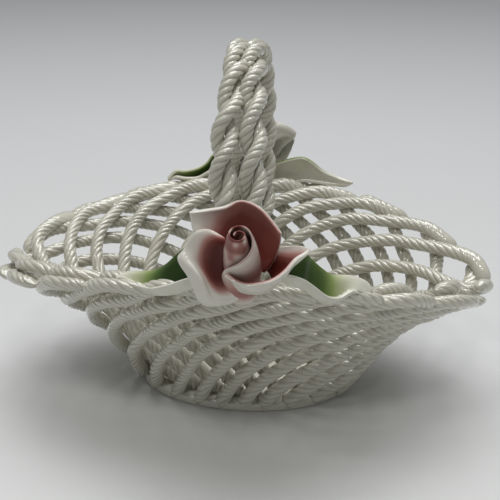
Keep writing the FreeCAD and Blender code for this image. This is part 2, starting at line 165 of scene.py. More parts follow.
LEFT_PETAL = [
    [(229, 243, -86), (227, 248, -86), (225.5, 254, -85.5), (224.5, 261, -84.5), (224.5, 268, -83.5),
     (227, 275, -84), (232, 281, -85), (238, 286, -86), (243, 290, -86)],
    [(226, 241, -84), (221, 243, -83), (216, 250, -82), (213, 259, -81.5), (213, 268, -81.5),
     (216, 278, -82), (221, 288, -83), (230, 293, -84), (243, 291, -85)],
    [(225, 240.5, -83), (216, 237, -80), (209, 244, -79), (205, 255, -78.5), (204, 267, -79),
     (208, 281, -81), (216, 294, -82.5), (229, 297, -83), (245, 291.5, -84.5)],
    [(224.5, 240.2, -82.5), (211, 233, -78), (202, 237, -77), (196, 250, -77), (193, 261, -78.5),
     (203, 280, -82), (213, 299, -83.5), (228.5, 300, -83), (246, 292, -84)],
    [(224, 240, -82), (209, 231.3, -77), (196, 234.5, -76), (187, 248, -76), (184, 258, -78.5),
     (198, 275, -83), (209.5, 301, -84.5), (228, 302, -82.5), (247, 292.5, -83.5)],
    [(224, 239.5, -81), (208, 231, -76), (194, 235, -75), (185.5, 251, -75.5), (178, 260, -78),
     (189.5, 278, -80), (202, 303.5, -81.5), (227.5, 303, -81), (247.5, 293, -82.5)],
]
FRONT_PETAL = [
    [(236, 286, -88), (240, 290, -88.5), (247, 292.5, -89), (256, 293, -88.5), (264, 292, -87),
     (270, 289, -84.5), (272, 283, -81.5), (271, 277, -79), (268, 272, -77.5), (264, 268, -77)],
    [(232, 281, -90.5), (238, 286.5, -92), (247, 290, -92.5), (258, 290.5, -92), (268, 288.5, -90),
     (277, 283, -87), (283, 274, -83), (287, 267, -79.5), (280, 260, -77), (273, 258, -76.5)],
    [(228.5, 277, -92), (236, 283, -94), (246, 287.3, -95), (259, 287, -94.2), (272, 284, -92),
     (283, 277, -88.5), (292, 266, -84), (301, 257, -79.5), (290, 251.5, -76), (278, 251, -75.5)],
    [(225.5, 274, -93), (234, 280, -95.5), (245, 284, -96.5), (260, 283, -95.5), (274, 279, -93),
     (286, 270, -89), (297, 258, -84), (311, 249.5, -79), (297, 245.5, -75.5), (281, 247, -75)],
]
FRONT_LEAF_LEFT = [
    [(190, 247, -66), (191, 258, -68), (195, 284, -74), (197, 282, -76), (197, 276, -76.5)],
    [(178, 254, -64), (180, 263, -66.5), (184, 289, -72.5), (185, 286, -74.5), (185.5, 278.5, -75)],
    [(167, 264.5, -62), (167, 271, -65), (167, 293, -70.5), (167, 291, -72.5), (167, 284.5, -73)],
    [(155, 271, -60), (154, 276, -63), (152, 292.5, -67), (152, 291, -69), (152, 287.3, -69.8)],
    [(142, 272.5, -58.5), (141, 275, -60.5), (140, 288, -63.5), (139, 288, -65.5), (138, 284.5, -66.3)],
    [(130, 272.8, -57), (128.5, 274.5, -58.5), (127.5, 279, -60), (127, 280, -61.5), (126.5, 279.5, -62.5)],
    [(117.5, 276.8, -57.5), (117, 277.4, -57.7), (116.5, 278, -58), (116.7, 279, -58.3),
     (117, 279.5, -58.5)],
]
FRONT_LEAF_RIGHT = [
    [(303, 253, -70), (300, 262, -72), (296, 284, -77), (295, 283, -79), (294, 276, -79.5)],
    [(311, 259.5, -67), (309, 268, -69.5), (306, 288, -74), (305, 287, -76), (305, 279.5, -76.5)],
    [(321, 268, -64.5), (319, 276, -67), (316.5, 296, -71.5), (316, 294.5, -73.5), (316, 287, -74)],
    [(330, 274.5, -62), (329, 281, -64.5), (328, 301, -69), (328, 300.5, -71), (328, 296, -71.5)],
    [(341, 275.6, -60), (341, 281, -62.5), (340, 298, -66), (340, 299, -68), (339.5, 297, -68.5)],
    [(352, 276.6, -58.5), (352.5, 280, -60), (353, 289, -63), (353, 292, -64.5), (353, 290, -65)],
    [(363, 280.5, -57.5), (363.5, 283, -58.5), (364, 289, -60), (364, 293, -61), (364, 294.5, -61.5)],
    [(371.5, 287, -57.5), (371.8, 288, -57.6), (372, 289, -57.8), (371.8, 290, -57.9), (371.5, 291, -58)],
]
BACK_LEAF_LEFT = [
    [(216, 153, 66), (216, 158, 68), (216, 172, 70), (215, 176, 68), (214, 168, 64)],
    [(207.7, 162, 65), (208, 166, 67), (208, 180, 69), (207, 181, 67), (207, 172, 63)],
    [(199, 168, 64), (199, 171, 66), (199, 181, 68), (198, 182, 66), (198, 177, 62)],
    [(186, 171, 63.5), (186, 173, 65), (186, 180, 67), (186, 181, 65), (186, 178, 61.5)],
    [(176, 170.5, 63), (176, 172, 64), (176, 176, 65), (176, 178, 64), (176, 176.5, 62)],
    [(168, 178.5, 62), (168, 179, 62.3), (168, 179.6, 62.5), (168, 180, 62.3), (168, 180.3, 62)],
]
BACK_LEAF_RIGHT = [
    [(277, 163, 67), (278, 166, 69), (279, 176, 71), (279, 184, 69), (279, 184, 65)],
    [(289, 159.8, 66.5), (290, 163, 68.5), (291, 174, 70.5), (291, 182, 68.5), (291, 183, 64.5)],
    [(302, 157.8, 66), (303, 161, 68), (304, 171, 69.5), (304, 179, 67.5), (304, 181, 63.5)],
    [(312, 162.5, 65.5), (313, 165, 67), (314, 173, 68), (314, 180, 66.5), (314, 182, 63)],
    [(323, 171, 65), (323, 173, 66), (324, 178, 66.5), (324, 182, 65.5), (324, 183.5, 62.5)],
    [(336, 176.8, 64), (336, 178, 64.5), (336, 181, 64.7), (336, 184, 64), (336, 185, 62.5)],
    [(346, 180, 63), (346, 181, 63.2), (346, 183, 63.3), (346, 185, 63), (346, 186, 62.5)],
    [(353, 182, 62.5), (353, 182.3, 62.5), (353, 183, 62.5), (353, 183.5, 62.5), (353, 184, 62.5)],
]

# Strength of the rose colour at the same points, from 0 for bare glaze to 1 for deep red
BACK_BLUSH = [
    [1.0, 1.0, 1.0, 1.0, 1.0, 1.0, 1.0],
    [0.45, 0.8, 1.0, 1.0, 1.0, 0.95, 0.95],
    [0.08, 0.25, 0.75, 0.85, 0.8, 0.82, 0.85],
    [0.02, 0.12, 0.5, 0.68, 0.65, 0.7, 0.75],
    [0.0, 0.04, 0.3, 0.52, 0.5, 0.55, 0.55],
]
LEFT_BLUSH = [
    [1.0, 1.0, 1.0, 1.0, 1.0, 1.0, 0.9, 0.5, 0.1],
    [0.9, 1.0, 1.0, 1.0, 1.0, 1.0, 0.6, 0.2, 0.1],
    [0.45, 0.55, 0.7, 0.7, 0.6, 0.3, 0.05, 0.0, 0.0],
    [0.2, 0.12, 0.14, 0.12, 0.05, 0.0, 0.0, 0.0, 0.0],
    [0.3, 0.1, 0.02, 0.0, 0.0, 0.0, 0.0, 0.0, 0.0],
    [0.2, 0.0, 0.0, 0.0, 0.0, 0.0, 0.0, 0.0, 0.0],
]
FRONT_BLUSH = [
    [0.05, 0.05, 0.1, 0.2, 0.5, 0.9, 1.0, 1.0, 1.0, 1.0],
    [0.6, 0.75, 0.8, 0.85, 0.95, 1.0, 1.0, 1.0, 0.9, 0.9],
    [0.45, 0.55, 0.6, 0.65, 0.7, 0.8, 0.75, 0.55, 0.25, 0.15],
    [0.5, 0.6, 0.65, 0.65, 0.6, 0.5, 0.2, 0.03, 0.03, 0.1],
]
# Strength of the green along a leaf, from its root, and across it
GREEN_ALONG = [1.0, 1.0, 0.95, 0.85, 0.6, 0.28, 0.08, 0.0, 0.0]
GREEN_ACROSS = [0.75, 1.0, 1.0, 0.8, 0.1]
# Share of the colour that the back of a petal or leaf has
PETAL_BACK, LEAF_BACK = 0.03, 0.05

# Petals: points, colour, and whether the colour is on the second side of the sheet
PETALS = [
    (BACK_PETAL, BACK_BLUSH, False),
    (LEFT_PETAL, LEFT_BLUSH, True),
    (FRONT_PETAL, FRONT_BLUSH, True),
]
# Leaves: name, points, middle of the root, side of the colour as above, and its depth
LEAVES = [
    ("front_leaf_left", FRONT_LEAF_LEFT, Vector((-3.0, -75.0, 89.0)), True, 1.15),
    ("front_leaf_right", FRONT_LEAF_RIGHT, Vector((19.5, -76.5, 92.0)), False, 0.93),
    ("back_leaf_left", BACK_LEAF_LEFT, Vector((-12.0, 71.5, 85.0)), True, 0.93),
    ("back_leaf_right", BACK_LEAF_RIGHT, Vector((1.0, 73.0, 79.0)), True, 0.93),
]
LEAF_ROOT_WIDTH = 0.5
# Sheet squares between two points of a petal and of a leaf, and along and up the bud
PETAL_SQUARES, LEAF_SQUARES, BUD_SQUARES = 5, 6, (110, 26)

# Back rose: width and height of its petals, as shares of those of the front rose
BACK_PRESS = {"bud": (1.0, 1.0), "petal_1": (1.0, 0.72), "petal_2": (0.9, 0.8), "petal_3": (1.0, 1.0)}
# Back rose: from where a petal's outer corner falls away, and where its right and left sides are
# drawn in, with the share of the width that is left from there
CORNER_FROM, CORNER_FALL = 11.0, 0.06
RIGHT_FROM, RIGHT_LEFT_OVER = 18.0, 0.4
LEFT_FROM, LEFT_LEFT_OVER = -19.0, 0.2

# Rolled bud: turns from its inner end, then the height of its lip
BUD_LIP = [(0.0, 37.0), (1.0, 38.0), (1.35, 37.8), (1.45, 36.6), (1.5, 35.3), (1.6, 32.8),
           (1.7, 30.6), (1.8, 27.2), (1.87, 23.5), (1.92, 18.0), (1.96, 12.0)]
# Rolled bud: turns, then its radius at the lip and at the belly
BUD_REACH = [(0.0, 1.3, 2.4), (0.5, 2.3, 4.4), (1.0, 2.9, 6.4), (1.25, 3.6, 6.8), (1.5, 4.4, 7.3),
             (1.96, 5.2, 7.5)]
# Rolled bud: height, then the share of the belly in its radius there
BUD_BELLY = [(0.0, 0.3), (4.0, 0.5), (10.0, 0.9), (15.0, 1.0), (22.0, 0.92), (28.0, 0.74),
             (33.0, 0.44), (36.0, 0.18), (38.0, 0.0)]
# Rolled bud: power that gathers the rows of its sheet near the lip, and shapes the painted shade near the
# root
BUD_SPREAD = 1.3
# Rolled bud: strength of its colour over all, in patches and on the lip, and of the painted shade towards
# the root
BUD_COLOUR, BUD_PATCHES, BUD_LIP_COLOUR, BUD_ROOT_SHADE = 0.05, 0.5, 0.25, 0.8
PATCH_ACROSS, PATCH_UP, PATCH_GAIN = 6.0, 0.22, 1.5
PATCH_HEIGHTS, PATCH_TURNS, LIP_SHARES, ROOT_SHADE_HEIGHTS = (24.0, 32.0), (1.2, 1.4), (0.93, 0.98), (0.0, 12.0)

# Lamps in metres: name, place, aim, width and length, watts, colour
LAMPS = [
    ("ceiling", (0.0, 0.35, 1.5), (0.0, 0.1, 0.05), (1.2, 0.9), 18.3, (0.97, 0.985, 1.0)),
    ("front_lamp", (0.10, -0.55, 1.0), (0.0, 0.0, 0.05), (0.18, 0.15), 1.2, (1.0, 0.98, 0.95)),
    ("side_lamp", (-0.35, -0.42, 0.95), (0.0, 0.0, 0.05), (0.14, 0.12), 0.8, (1.0, 0.99, 0.97)),
]
ROOM_COLOUR, ROOM_STRENGTH, BACKDROP_COLOUR = (0.86, 0.88, 0.90, 1), 0.245, (0.50, 0.505, 0.505, 1)
TABLE_SIZE, RIPPLE_HEIGHT = 8.0, 0.0006


# Operators and modifiers

def clear_selection():
    if bpy.context.object and bpy.context.object.mode != "OBJECT":
        bpy.ops.object.mode_set(mode="OBJECT")
    bpy.ops.object.select_all(action="DESELECT")


def activate(piece):
    clear_selection()
    piece.select_set(True)
    bpy.context.view_layer.objects.active = piece


def finish_modifiers(piece):
    activate(piece)
    for modifier in list(piece.modifiers):
        bpy.ops.object.modifier_apply(modifier=modifier.name)


def thicken(piece, thickness):
    wall = piece.modifiers.new("wall", "SOLIDIFY")
    wall.thickness = thickness
    wall.offset = 0.0
    finish_modifiers(piece)


def round_off(piece):
    rounding = piece.modifiers.new("rounding", "SUBSURF")
    rounding.levels = rounding.render_levels = 1
    finish_modifiers(piece)


def turn_outwards(piece):
    activate(piece)
    bpy.ops.object.mode_set(mode="EDIT")
    bpy.ops.mesh.select_all(action="SELECT")
    bpy.ops.mesh.normals_make_consistent(inside=False)
    bpy.ops.object.mode_set(mode="OBJECT")


def smooth(piece):
    activate(piece)
    bpy.ops.object.shade_smooth()


def twin(piece, name):
    """Copy of a piece with its own mesh."""
    copy = piece.copy()
    copy.data = piece.data.copy()
    copy.name = copy.data.name = name
    bpy.context.scene.collection.objects.link(copy)
    return copy


def mark(piece, name, values):
    """Number kept at each corner of a piece for its glaze."""
    layer = piece.data.attributes.get(name) or piece.data.attributes.new(name, "FLOAT", "POINT")
    layer.data.foreach_set("value", values)


def hand_over(piece, node, glaze):
    """Lets a finished piece stand for its CAD node, and glazes it."""
    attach(piece, "root")
    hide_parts(node)
    piece.data.materials.append(glaze)


# Numbers and places

def held(value):
    return min(max(value, 0.0), 1.0)


def ease(value):
    value = held(value)
    return value * value * (3 - 2 * value)


def fade(value, begin, whole):
    """Soft step from 0 at begin to 1 at whole."""
    return ease((value - begin) / (whole - begin))


def mix(first, second, share):
    return first + (second - first) * share


def between(table, place):
    """Values of a table of rows at a place among its first column, in straight steps."""
    for before, after in zip(table, table[1:]):
        if place <= after[0]:
            part = max((place - before[0]) / (after[0] - before[0]), 0.0)
            return [mix(low, high, part) for low, high in zip(before[1:], after[1:])]
    return list(table[-1][1:])


def camera_axes():
    """Where the camera is, and its directions ahead, to the right and up."""
    level, down = math.cos(CAMERA_TIP), math.sin(CAMERA_TIP)
    along, aside = math.cos(CAMERA_TURN), math.sin(CAMERA_TURN)
    ahead = (-aside * level, along * level, -down)
    right = (along, aside, 0.0)
    upward = (-aside * down, along * down, level)
    aim = (CAMERA_AIM_ASIDE * along, CAMERA_AIM_ASIDE * aside, CAMERA_AIM_HEIGHT)
    eye = tuple(middle - part * CAMERA_DISTANCE for middle, part in zip(aim, ahead))
    return eye, ahead, right, upward


def seen_at(across, down, y):
    """Place that shows at a pixel of the photograph and lies at y, to a tenth of a millimetre."""
    eye, ahead, right, upward = camera_axes()
    aside, above = across - PICTURE_PIXELS / 2, PICTURE_PIXELS / 2 - down
    ray = [front * FOCAL_PIXELS + side * aside + top * above
           for front, side, top in zip(ahead, right, upward)]
    reach = (y - eye[1]) / ray[1]
    return Vector([round(start + part * reach, 1) for start, part in zip(eye, ray)])


def places_of(points):
    return [[seen_at(*point) for point in row] for row in points]


# Wall surface

def flare(rise, first, second):
    return first * rise + second * rise ** 2 + (1 - first - second) * rise ** 3


def wall_point(turn, rise):
    """Middle of the wall at an angle round the basket and a share of the way up."""
    along, across = math.cos(turn), math.sin(turn)
    rim_y = RIM_HALF_WIDTH * math.copysign(abs(across) ** RIM_POINT_POWER, across)
    out = mix(flare(rise, *SIDE_FLARE), flare(rise, *TIP_FLARE), along ** 2)
    rim_z = mix(RIM_TIP_HEIGHT, RIM_SIDE_HEIGHT, abs(across) ** SADDLE_POWER)
    rim_z += BACK_LEFT_RISE * max(-along, 0) ** SWELL_POWER * max(across, 0) / SWELL_PEAK
    return Vector((mix(FOOT_HALF_LENGTH * along, RIM_HALF_LENGTH * along, out),
                   mix(FOOT_HALF_WIDTH * across, rim_y, out),
                   mix(BASE_TOP, rim_z, rise)))


def wall_normal(turn, rise):
    rise = min(max(rise, SMALL_STEP), 1 - SMALL_STEP)
    sideways = wall_point(turn + SMALL_STEP, rise) - wall_point(turn - SMALL_STEP, rise)
    upward = wall_point(turn, rise + SMALL_STEP) - wall_point(turn, rise - SMALL_STEP)
    return sideways.cross(upward).normalized()


def rope_place(layer, start, share):
    """Middle of a wall rope and the way out of the basket there."""
    turn = start + layer * SWEEP[layer] * share
    power = CLIMB_POWER[layer] + LEFT_CLIMB * max(-math.cos(turn), 0) ** 2
    order = -layer * math.sin(start + layer * SWEEP[layer])
    over, under = max(order, 0), max(-order, 0)
    climb = ease((share - 1) / TIP_CLIMB + 1)
    lift = TIP_LIFT * (1 - INNER_TIP_LOWER * over) if layer == INNER else TIP_LIFT
    rise = (1 - RIM_DROP * under) * (1 - (1 - min(share, 1)) ** power)
    rise += climb * lift / (RIM_SIDE_HEIGHT - BASE_TOP)
    spread = TURN_SPREAD * math.sin(2 * turn)
    if math.sin(turn) > 0 > math.cos(turn):
        spread += BACK_LEFT_SPREAD * math.sin(2 * turn) ** 2
    turn += spread
    out = wall_normal(turn, rise)
    offset = layer * (ROPE_WIDTH + ROPE_GAP) / 2 * (1 - TIP_CROSS * over * climb)
    place = wall_point(turn, rise) + out * offset
    if layer == INNER and math.cos(turn) > 0:
        near_tip = math.exp(-(math.sin(turn) / RIGHT_TIP_REACH) ** 2)
        place += RIGHT_TIP_SHIFT * near_tip * fade(share, *RIGHT_TIP_SHARES)
    return place, out


# Ropes

def close_end(bar, height):
    """Closes the open ring of a straight bar at a height."""
    bpy.ops.object.mode_set(mode="EDIT")
    bpy.ops.mesh.select_all(action="DESELECT")
    bpy.ops.object.mode_set(mode="OBJECT")
    for corner in bar.data.vertices:
        corner.select = abs(corner.co.z - height) < SMALL_STEP
    for edge in bar.data.edges:
        edge.select = all(bar.data.vertices[end].select for end in edge.vertices)
    bpy.ops.object.mode_set(mode="EDIT")
    bpy.ops.mesh.extrude_region_move()
    bpy.ops.mesh.merge(type="CENTER")
    bpy.ops.object.mode_set(mode="OBJECT")


def fluted_bar(name, radius, flutes, around, rings):
    """Straight bar with lobes round it, a unit long, closed at both ends."""
    clear_selection()
    bpy.ops.mesh.primitive_circle_add(vertices=flutes * around, radius=radius)
    bar = bpy.context.object
    bar.name = name
    for corner in bar.data.vertices:
        lobe = math.sin(math.pi * (corner.index % around) / around) ** LOBE_ROUND
        corner.co *= 1 - GROOVE_DEPTH / radius * (1 - lobe)
    pull = bar.modifiers.new("pull", "SCREW")
    pull.steps = pull.render_steps = rings
    pull.screw_offset = 1.0
    pull.angle = 0.0
    finish_modifiers(bar)
    close_end(bar, 0.0)
    close_end(bar, 1.0)
    turn_outwards(bar)
    return bar


def route_table(route, count):
    """Rows along a route, each its middle, out, side and ahead, and the length run to each."""
    rows = [route(step / count) for step in range(count + 1)]
    runs = [0.0]
    for before, after in zip(rows, rows[1:]):
        runs.append(runs[-1] + (after[0] - before[0]).length)
    table = []
    for number, (middle, out) in enumerate(rows):
        ahead = (rows[min(number + 1, count)][0] - rows[max(number - 1, 0)][0]).normalized()
        out = (out - ahead * out.dot(ahead)).normalized()
        table.append((middle, out, ahead.cross(out), ahead))
    return table, runs


def place_on(table, runs, run):
    """Middle, out and side at a length along a route, straight on past its end."""
    if run >= runs[-1]:
        middle, out, side, ahead = table[-1]
        return middle + ahead * (run - runs[-1]), out, side
    low, high = 0, len(runs) - 1
    while high - low > 1:
        half = (low + high) // 2
        if runs[half] <= run:
            low = half
        else:
            high = half
    part = (run - runs[low]) / (runs[high] - runs[low])
    return [before.lerp(after, part) for before, after in zip(table[low][:3], table[high][:3])]


def wander(run, pace, seed, lane):
    """Slow change along a rope, between about -1 and 1 and its own for each seed and lane."""
    return noise.noise(Vector((run * pace, seed, lane)))


def lay_bar(bar, name, route, length, radius, lay, seed, shape, settle):
    """Copies the bar, twists it and lays it along the route.

    Shape gives its width, thickness and groove strength at a run, and settle moves its middle.
    """
    piece = twin(bar, name)
    table, runs = route
    plain = radius - WORN_SHARE * GROOVE_DEPTH

    def ring_at(run):
        wide, thick, flutes = shape(run)
        swell = 1 + SWELLING * wander(run, SWELLING_PACE, seed, SWELLING_LANE)
        outwards, sideways = (DRIFT * wander(run, DRIFT_PACE, seed, lane) for lane in DRIFT_LANES)
        middle, out, side = place_on(table, runs, run)
        middle = middle + settle(run) + out * outwards + side * sideways
        angle = seed + 2 * math.pi * run / lay + SLACK_TWIST * wander(run, SLACK_PACE, seed, SLACK_LANE)
        return wide * swell, thick * swell, flutes, middle, out, side, math.cos(angle), math.sin(angle)

    grooves, rings = [], {}
    for corner in piece.data.vertices:
        key = round(corner.co.z, 5)
        if key not in rings:
            rings[key] = ring_at(corner.co.z * length)
        wide, thick, flutes, middle, out, side, turned, aside = rings[key]
        reach = math.hypot(corner.co.x, corner.co.y)
        at_axis = reach < SMALL_STEP
        scale = 0 if at_axis else mix(plain, reach, flutes) / reach
        x = corner.co.x * turned - corner.co.y * aside
        y = corner.co.x * aside + corner.co.y * turned
        place = middle + out * (x * scale * thick) + side * (y * scale * wide)
        place.z = max(place.z, LOWEST_ROPE)
        corner.co = place * MM
        grooves.append(0 if at_axis else held((radius - reach) / GROOVE_DEPTH) * flutes)
    # Groove depth at each corner: the body glaze darkens with it, as pooling and painted shade, and is
    # rougher there.
    mark(piece, "groove", grooves)
    piece.data.update()
    smooth(piece)
    return piece


def inner_head(end, on_top):
    """How far the head of an inner rope reaches on, bends down, is pushed out and sags."""
    left = max(-math.cos(end), 0)
    far_left = fade(left, *FAR_LEFT) * min(on_top * 2, 1)
    reach = (INNER_REACH + INNER_REACH_LEFT * left) * on_top + INNER_REACH_FAR_LEFT * far_left
    drop = HEAD_DROP + (INNER_DROP - INNER_DROP_LEFT * left) * on_top + INNER_DROP_FAR_LEFT * far_left
    push = INNER_PUSH * min(on_top * INNER_PUSH_GAIN, 1)
    sag = (INNER_SAG + INNER_SAG_LEFT * fade(left, *LEFT_HALF)) * on_top
    return reach, drop, push, sag


def outer_head(end, on_top):
    """The same for an outer rope, which is drawn in instead and doesn't sag."""
    right = math.cos(end)
    cut = OUTER_CUT_RIGHT * fade(right, *RIGHT_HALF) + OUTER_CUT_TIP * fade(right, *RIGHT_TIP)
    return OUTER_REACH * on_top - cut, HEAD_DROP + OUTER_DROP * on_top, -OUTER_PUSH * on_top, 0.0


def wall_rope(bar, layer, number):
    turn = math.radians(START_DEGREES[layer] + number * 360 / ROPE_COUNT)
    table, runs = route_table(lambda share: rope_place(layer, turn, share * ROUTE_STRETCH),
                              round(ROUTE_STEPS * ROUTE_STRETCH))
    end = turn + layer * SWEEP[layer]
    on_top = min(2 * max(-layer * math.sin(end), 0), 1)
    head = inner_head if layer == INNER else outer_head
    reach, drop, push, sag = head(end, on_top)
    full = runs[ROUTE_STEPS] + TIP_LENGTH + reach
    outward = table[ROUTE_STEPS][1]
    outward = Vector((outward.x, outward.y, 0)).normalized()
    bare = fade(abs(math.cos(end)), *BARE_TIPS) * fade(math.sin(end), *BARE_BACK)

    def shape(run):
        to_tip = full - run
        flat = ease(1 - (to_tip - FLAT_FROM) / FLAT_LENGTH)
        point = math.sqrt(1 - (1 - held(to_tip / POINT_LENGTH)) ** 2)
        foot = 1 + FOOT_SPREAD * math.exp(-run / FOOT_RUN)
        worn = (WORN_GROOVES + BARE_GROOVES * bare) * flat if layer == INNER else 0
        return (mix(*ROPE_WIDE[layer], flat) * point * foot,
                mix(*ROPE_THICK[layer], flat) * point * foot,
                ROPE_GROOVES[layer] - worn)

    def settle(run):
        bend = max((run - full + HEAD_BEND) / HEAD_BEND, 0) ** 2
        fall = sag * ease((run - full + SAG_BEFORE) / SAG_LENGTH)
        return Vector((0, 0, -drop * bend - fall)) + outward * (push * bend)

    name = "%s_rope_%02d" % ("outer" if layer == OUTER else "inner", number + 1)
    rope = lay_bar(bar, name + "_glazed", (table, runs), full, ROPE_WIDTH / 2, ROPE_LAY,
                   ROPE_SEED * number + layer, shape, settle)
    hand_over(rope, name, body_glaze)


def make_wall():
    bar = fluted_bar("rope_bar", ROPE_WIDTH / 2, ROPE_FLUTES, ROPE_CORNERS, ROPE_RINGS)
    for number in range(ROPE_COUNT):
        wall_rope(bar, OUTER, number)
        wall_rope(bar, INNER, number)
    bpy.data.objects.remove(bar)


# Handle

HANDLE_LEAN = math.asin((HANDLE_MIDDLE_RISE + HANDLE_FOOT_DEPTH) / HANDLE_HALF_HEIGHT)
HANDLE_SPAN = (RIM_HALF_WIDTH - HANDLE_FOOT_INSET) / math.cos(HANDLE_LEAN)


def handle_place(turn):
    return Vector((0, HANDLE_SPAN * math.cos(turn),
                   RIM_SIDE_HEIGHT + HANDLE_MIDDLE_RISE + HANDLE_HALF_HEIGHT * math.sin(turn)))


def handle_strand(bar, number):
    """One of two strands that twist round each other, on one side of the handle."""
    sweep = math.pi + 2 * HANDLE_LEAN
    turns = [math.pi + HANDLE_LEAN - sweep * step / HANDLE_STEPS for step in range(HANDLE_STEPS + 1)]
    pitch = STRAND_WIDTH + STRAND_GAP
    yaw = Matrix.Rotation(HANDLE_YAW, 3, "Z")
    across = Vector((1, 0, 0))
    rows, run = [], 0.0
    for before, turn in zip(turns[:1] + turns, turns):
        run += (handle_place(turn) - handle_place(before)).length
        ahead = (handle_place(turn - SMALL_STEP) - handle_place(turn + SMALL_STEP)).normalized()
        angle = math.pi * (number % 2) + 2 * math.pi * run / STRAND_PITCH
        swing = across * math.cos(angle) + ahead.cross(across) * math.sin(angle)
        top = fade(math.sin(turn), *TOP_SINES)
        near = pitch * (1 - TOP_SQUEEZE * top)
        aside = near if number >= 2 else TOP_ASIDE * top - near
        middle = handle_place(turn) + across * aside + swing * (pitch / 2)
        rows.append((yaw @ middle, yaw @ swing))
    table, runs = route_table(lambda share: rows[round(share * HANDLE_STEPS)], STRAND_STEPS)
    length = runs[-1]

    def shape(run):
        wide = STRAND_WIDE * held((min(run, length - run) + STRAND_END) / STRAND_ROUND)
        return wide, wide, 1.0

    name = "handle_strand_%d" % (number + 1)
    strand = lay_bar(bar, name + "_glazed", (table, runs), length, STRAND_WIDTH / 2, STRAND_LAY,
                     STRAND_SEED * number, shape, lambda run: Vector((0, 0, 0)))
    hand_over(strand, name, body_glaze)


def make_handle():
    bar = fluted_bar("strand_bar", STRAND_WIDTH / 2, STRAND_FLUTES, STRAND_CORNERS, STRAND_RINGS)
    for number in range(STRAND_COUNT):
        handle_strand(bar, number)
    bpy.data.objects.remove(bar)


# Roses and leaves

def curve_value(values, place):
    """Value on a smooth line through evenly spaced values."""
    last = len(values) - 1
    low = min(int(place), last - 1)
    part = place - low
    a, b, c, d = (values[min(max(low + step, 0), last)] for step in (-1, 0, 1, 2))
    return (b * 2 + (c - a) * part + (a * 2 - b * 5 + c * 4 - d) * part ** 2
            + (b * 3 - a - c * 3 + d) * part ** 3) * 0.5


def grid_value(rows, down, across):
    return curve_value([curve_value(row, across) for row in rows], down)


def sheet(name, across, down):
    """Flat sheet of squares, a unit wide and long, about the origin."""
    clear_selection()
    bpy.ops.mesh.primitive_grid_add(x_subdivisions=across, y_subdivisions=down, size=1)
    piece = bpy.context.object
    piece.name = name
    return piece


def shaped_sheet(name, rows, squares, word, colour, second_side, back):
    """Sheet through rows of places, thickened, with its colour on one side and a share behind."""
    tall, wide = len(rows) - 1, len(rows[0]) - 1
    piece = sheet(name, wide * squares, tall * squares)
    paint = []
    for corner in piece.data.vertices:
        down, across = (corner.co.y + 0.5) * tall, (corner.co.x + 0.5) * wide
        corner.co = grid_value(rows, down, across)
        paint.append(held(grid_value(colour, down, across)))
    thicken(piece, SHEET_THICKNESS)
    pale = [value * back for value in paint]
    mark(piece, word, pale + paint if second_side else paint + pale)
    round_off(piece)
    return piece


def bud_paint(turns, up, height):
    """Strength of the rose colour on the bud: in patches and on the lip, and deeper towards the root as
    painted shade.
    """
    patch = 0.5 + noise.noise(Vector((turns * PATCH_ACROSS, height * PATCH_UP, 2.0)))
    patch *= fade(height, *PATCH_HEIGHTS) * (1 - fade(turns, *PATCH_TURNS))
    # Painted shade low on the bud, deepening its colour towards the root.
    depth = (1 - up) ** BUD_SPREAD * fade(height, *ROOT_SHADE_HEIGHTS)
    return held(BUD_COLOUR + BUD_PATCHES * ease(patch * PATCH_GAIN)
                + BUD_LIP_COLOUR * fade(up, *LIP_SHARES) + BUD_ROOT_SHADE * depth)


def rolled_bud(name):
    """Bud rolled from one sheet, its lip falling away in front."""
    bud = sheet(name, *BUD_SQUARES)
    lean = Matrix.Rotation(BUD_LEAN, 3, "X")
    last = BUD_LIP[-1][0]
    paint = []
    for corner in bud.data.vertices:
        turns, up = (corner.co.x + 0.5) * last, corner.co.y + 0.5
        height = between(BUD_LIP, turns)[0] * (1 - (1 - up) ** BUD_SPREAD)
        reach = mix(*between(BUD_REACH, turns), between(BUD_BELLY, height)[0])
        angle = math.pi - 2 * math.pi * turns
        corner.co = FRONT_ROOT + lean @ Vector((reach * math.cos(angle), reach * math.sin(angle), height))
        paint.append(bud_paint(turns, up, height))
    mark(bud, "blush", paint)
    thicken(bud, BUD_THICKNESS)
    round_off(bud)
    return bud


def seat(piece, node, glaze):
    """Brings a finished sheet to metres and hands it to its node."""
    for corner in piece.data.vertices:
        corner.co *= MM
    turn_outwards(piece)
    smooth(piece)
    hand_over(piece, node, glaze)


def press_back(word, place):
    """Place on a petal of the back rose, for one on the front rose turned half way round."""
    narrow, lower = BACK_PRESS[word]
    place.z *= lower
    place.x *= narrow
    if word == "petal_1":
        place.z -= CORNER_FALL * max(place.x - CORNER_FROM, 0) ** 2
    elif word == "petal_2":
        place.x = min(place.x, mix(RIGHT_FROM, place.x, RIGHT_LEFT_OVER))
    elif word == "petal_3":
        place.x = max(place.x, mix(LEFT_FROM, place.x, LEFT_LEFT_OVER))
    return place


def make_roses():
    """Front rose, and the back rose as its copy turned half way round and pressed flatter."""
    pieces = [("bud", rolled_bud("front_rose_bud_glazed"))]
    for number, (points, blush, second_side) in enumerate(PETALS, start=1):
        word = "petal_%d" % number
        petal = shaped_sheet("front_rose_%s_glazed" % word, places_of(points), PETAL_SQUARES,
                             "blush", blush, second_side, PETAL_BACK)
        pieces.append((word, petal))
    half_turn = Matrix.Rotation(math.pi, 3, "Z")
    for word, piece in pieces:
        copy = twin(piece, "back_rose_%s_glazed" % word)
        for corner in copy.data.vertices:
            corner.co = BACK_ROOT + press_back(word, half_turn @ (corner.co - FRONT_ROOT))
        seat(copy, "back_rose_" + word, rose_glaze)
        seat(piece, "front_rose_" + word, rose_glaze)


